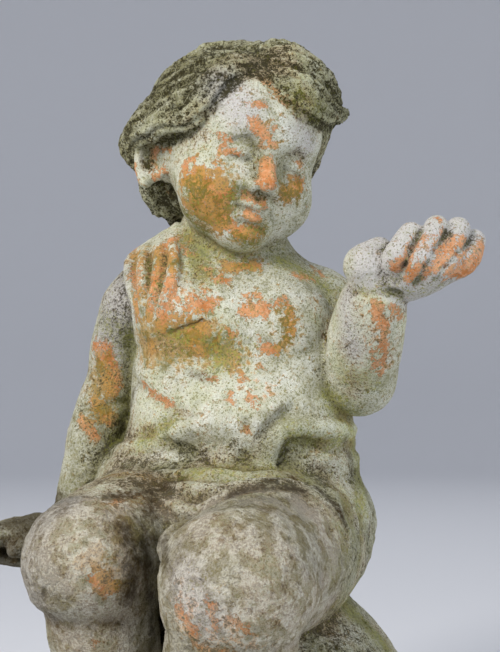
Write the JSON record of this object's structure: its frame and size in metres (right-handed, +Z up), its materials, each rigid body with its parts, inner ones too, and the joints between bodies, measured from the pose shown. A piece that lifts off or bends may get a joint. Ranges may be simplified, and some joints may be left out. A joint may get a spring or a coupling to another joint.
{
  "type": "cherub statue",
  "caption": "Seated terracotta putto on a rounded rock, one cupped hand raised and one resting, cast in one with a low oval base.",
  "frame": {"origin": "centre of the oval base's flat underside", "axes": "+Z up; the figure's knees and chest face -Y; +X is the viewer's right, the side of the raised hand"},
  "size_m": [0.3811, 0.393, 0.5635],
  "materials": {
    "terracotta": "unglazed fired clay, weathered, with a worn pale coat, bare orange clay and lichen"
  },
  "bodies": {
    "root": {"cherub_statue": "terracotta"}
  },
  "joints": []
}
